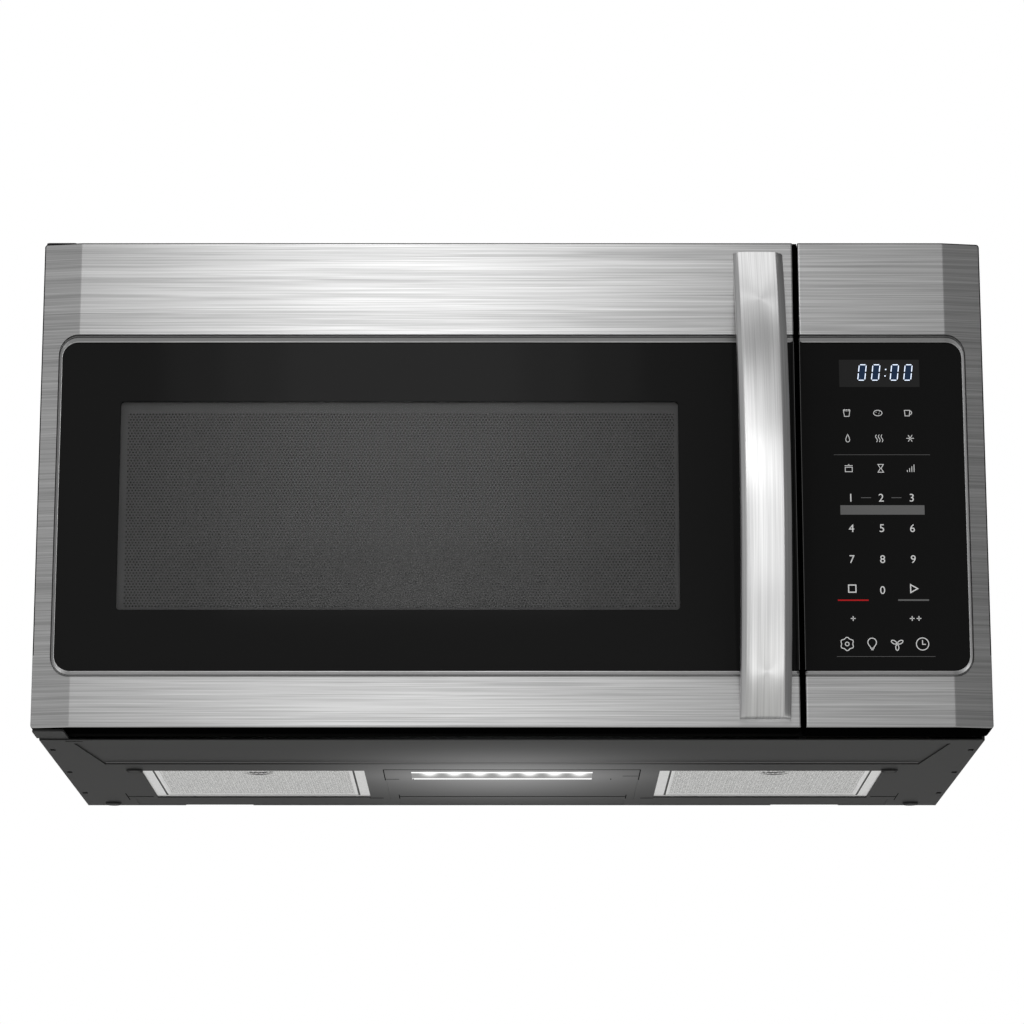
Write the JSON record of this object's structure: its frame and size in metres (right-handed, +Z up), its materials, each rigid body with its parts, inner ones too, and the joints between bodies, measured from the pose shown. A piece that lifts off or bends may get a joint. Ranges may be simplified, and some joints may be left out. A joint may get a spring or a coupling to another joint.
{
  "type": "over-the-range microwave oven",
  "caption": "Wall-hung microwave oven with a side-hinged glass door, bowed pull handle, touch control side, turntable, lamp, grease filters and extractor blower.",
  "frame": {"origin": "under the middle of the whole object, on the level of the lowest rubber bumpers", "axes": "X runs to the right as seen from the front, Y runs from the door to the wall, Z runs up"},
  "size_m": [0.759, 0.444, 0.406],
  "materials": {
    "brushed_steel_skin": "vertical brushed stainless",
    "handle_metal": "brushed along its length",
    "black_glass": "black printed glass",
    "clear_lens": "clear ribbed",
    "tray_glass": "clear tempered",
    "film": "clear film",
    "black_plastic": "fine grained",
    "white_plastic": "moulded",
    "grey_plastic": "moulded",
    "case_paint": "dark grey powder coat",
    "zinc_steel": "zinc-coated sheet",
    "cavity_paint": "light grey enamel",
    "screen_steel": "black, perforated",
    "screw_steel": "zinc-plated",
    "motor_steel": "lacquered laminations",
    "aluminium": "bare",
    "mica": "pressed mica sheet",
    "board": "solder resist",
    "charcoal": "granules in a net",
    "rubber": "soft"
  },
  "bodies": {
    "cabinet": {"base_bumpers": "rubber", "base_plate": "case_paint", "blower_housing": "zinc_steel", "blower_motor": "motor_steel", "capacitor_and_diode": "aluminium", "cavity": "cavity_paint", "cavity_lamp": "grey_plastic", "charcoal_filter": "charcoal", "control_board": "board", "control_glass": "black_glass", "control_housing": "black_plastic", "control_skin": "brushed_steel_skin", "cord_gland": "rubber", "display_module": "grey_plastic", "door_switches": "grey_plastic", "exhaust_adapter": "grey_plastic", "fan_motor": "motor_steel", "fan_shroud": "zinc_steel", "front_plate": "zinc_steel", "hinge_brackets": "case_paint", "hv_transformer": "motor_steel", "interlock_bracket": "black_plastic", "lamp_lens": "clear_lens", "lamp_panel": "case_paint", "led_board": "board", "magnetron": "aluminium", "outer_case": "case_paint", "rear_panel": "zinc_steel", "side_screws": "screw_steel", "turntable_motor": "motor_steel", "vent_grille": "grey_plastic", "waveguide": "zinc_steel", "waveguide_cover": "mica"},
    "door": {"door_skin": "brushed_steel_skin", "door_glass": "black_glass", "door_frame": "black_plastic", "door_screen": "screen_steel", "door_inner_film": "film", "choke_cover": "black_plastic", "handle_bar": "handle_metal", "handle_screws": "screw_steel", "hinge_pins": "screw_steel", "latch_spring": "screw_steel"},
    "latch": {"latch_hook": "black_plastic"},
    "plunger_primary": {"switch_plunger_primary": "white_plastic"},
    "plunger_secondary": {"switch_plunger_secondary": "white_plastic"},
    "plunger_monitor": {"switch_plunger_monitor": "white_plastic"},
    "coupler": {"turntable_coupler": "white_plastic"},
    "tray": {"turntable_tray": "tray_glass"},
    "ring": {"roller_ring": "white_plastic"},
    "roller_a": {"roller_1": "white_plastic"},
    "roller_b": {"roller_2": "white_plastic"},
    "roller_c": {"roller_3": "white_plastic"},
    "fan": {"fan_blade": "white_plastic"},
    "blower": {"blower_shaft": "zinc_steel", "blower_wheel_left": "grey_plastic", "blower_wheel_right": "grey_plastic"},
    "damper": {"damper_flap": "grey_plastic"},
    "filter_left": {"grease_filter_left": "aluminium"},
    "filter_right": {"grease_filter_right": "aluminium"}
  },
  "joints": [
    {"name": "door_hinge", "type": "hinge", "parent": "cabinet", "child": "door", "pos_m": [-0.366, -0.148, 0.20375], "axis": [0, 0, -1], "range_deg": [0, 100]},
    {"name": "latch_slide", "type": "slide", "parent": "door", "child": "latch", "axis": [0, 0, -1], "range_m": [0, 0.004], "stiffness_N_per_m": 500, "springref_m": -0.002, "deforming": ["latch_spring"]},
    {"name": "primary_plunger_slide", "type": "slide", "parent": "cabinet", "child": "plunger_primary", "axis": [0, 1, 0], "range_m": [0, 0.002], "stiffness_N_per_m": 200, "springref_m": -0.001},
    {"name": "secondary_plunger_slide", "type": "slide", "parent": "cabinet", "child": "plunger_secondary", "axis": [0, 1, 0], "range_m": [0, 0.002], "stiffness_N_per_m": 200, "springref_m": -0.001},
    {"name": "monitor_plunger_slide", "type": "slide", "parent": "cabinet", "child": "plunger_monitor", "axis": [0, 1, 0], "range_m": [0, 0.002], "stiffness_N_per_m": 200, "springref_m": -0.001},
    {"name": "turntable_spin", "type": "hinge", "parent": "cabinet", "child": "coupler", "pos_m": [-0.086, 0.042, 0.0665], "axis": [0, 0, 1], "continuous": true},
    {"name": "tray_lift", "type": "slide", "parent": "coupler", "child": "tray", "axis": [0, 0, 1], "range_m": [0, 0.03]},
    {"name": "ring_spin", "type": "hinge", "parent": "cabinet", "child": "ring", "pos_m": [-0.086, 0.042, 0.0745], "axis": [0, 0, 1], "continuous": true},
    {"name": "roller_spin_1", "type": "hinge", "parent": "ring", "child": "roller_a", "pos_m": [-0.086, 0.161, 0.0745], "axis": [0, 1, 0], "continuous": true},
    {"name": "roller_spin_2", "type": "hinge", "parent": "ring", "child": "roller_b", "pos_m": [-0.18906, -0.0175, 0.0745], "axis": [-0.866, -0.5, 0], "continuous": true},
    {"name": "roller_spin_3", "type": "hinge", "parent": "ring", "child": "roller_c", "pos_m": [0.01706, -0.0175, 0.0745], "axis": [0.866, -0.5, 0], "continuous": true},
    {"name": "cooling_fan_spin", "type": "hinge", "parent": "cabinet", "child": "fan", "pos_m": [0.275, 0.1767, 0.2145], "axis": [0, 1, 0], "continuous": true},
    {"name": "blower_spin", "type": "hinge", "parent": "cabinet", "child": "blower", "pos_m": [0, 0.16875, 0.349], "axis": [1, 0, 0], "continuous": true},
    {"name": "damper_hinge", "type": "hinge", "parent": "cabinet", "child": "damper", "pos_m": [0, 0.204, 0.401], "axis": [-1, 0, 0], "range_deg": [0, 80]},
    {"name": "filter_slide_left", "type": "slide", "parent": "cabinet", "child": "filter_left", "axis": [0, 1, 0], "range_m": [0, 0.0056]},
    {"name": "filter_slide_right", "type": "slide", "parent": "cabinet", "child": "filter_right", "axis": [0, 1, 0], "range_m": [0, 0.0056]}
  ],
  "couplings": [
    {"joint": "ring_spin", "follows": "turntable_spin", "ratio": 0.5},
    {"joint": "roller_spin_1", "follows": "turntable_spin", "ratio": -7.7273},
    {"joint": "roller_spin_2", "follows": "turntable_spin", "ratio": -7.7273},
    {"joint": "roller_spin_3", "follows": "turntable_spin", "ratio": -7.7273}
  ]
}
